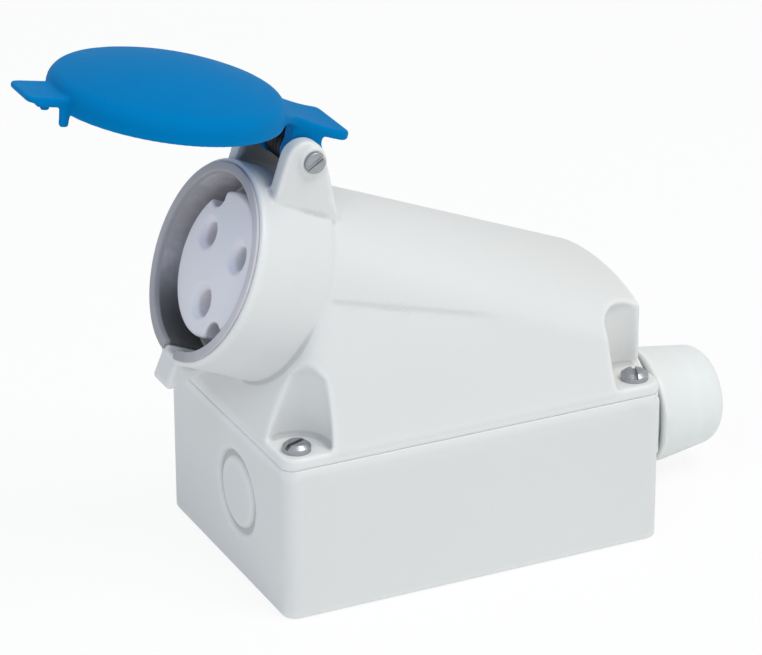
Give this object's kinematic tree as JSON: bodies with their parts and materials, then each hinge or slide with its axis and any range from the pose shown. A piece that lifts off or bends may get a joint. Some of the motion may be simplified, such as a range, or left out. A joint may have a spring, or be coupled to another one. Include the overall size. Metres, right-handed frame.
{
  "type": "surface mounted socket",
  "caption": "Surface mounted power socket with a grey moulded box, a sloping cover that grows into a round mouth, a sprung blue lid standing open and a cable gland",
  "frame": {"origin": "middle of the flat back face that lies on the wall", "axes": "+Z away from the wall, +X along the box from the mouth to the cable gland, +Y across the box"},
  "size_m": [0.1884, 0.0726, 0.1371],
  "materials": {
    "shell": "satin light grey moulding",
    "lid": "satin blue moulding",
    "carrier": "pale grey insulating moulding",
    "seal": "dark grey rubber",
    "brass": "turned brass",
    "steel": "zinc plated steel",
    "spring": "dark phosphated spring steel"
  },
  "bodies": {
    "housing": {"back_box": "shell", "cover": "shell", "gland_body": "shell", "gland_locknut": "shell", "contact_carrier": "carrier", "carrier_base": "carrier", "contact_retainer": "carrier", "gland_clamp": "carrier", "box_gasket": "seal", "mouth_seal": "seal", "gland_washer": "seal", "gland_seal": "seal", "line_contact": "brass", "neutral_contact": "brass", "earth_contact": "brass", "cover_screws": "steel", "carrier_screws": "steel", "retainer_screw": "steel", "terminal_screws": "steel", "hinge_pin": "steel", "pin_clip": "steel", "lid_spring": "spring"},
    "lid": {"lid": "lid"},
    "cap_nut": {"gland_cap": "shell"}
  },
  "joints": [
    {"name": "lid_hinge", "type": "hinge", "parent": "housing", "child": "lid", "pos_m": [-0.03388, 0, 0.11052], "axis": [0, 1, 0], "range_deg": [-77.5, 40], "deforming": ["lid_spring"]},
    {"name": "cap_turn", "type": "hinge", "parent": "housing", "child": "cap_nut", "pos_m": [0.075, 0, 0.0188], "axis": [1, 0, 0], "continuous": true}
  ]
}
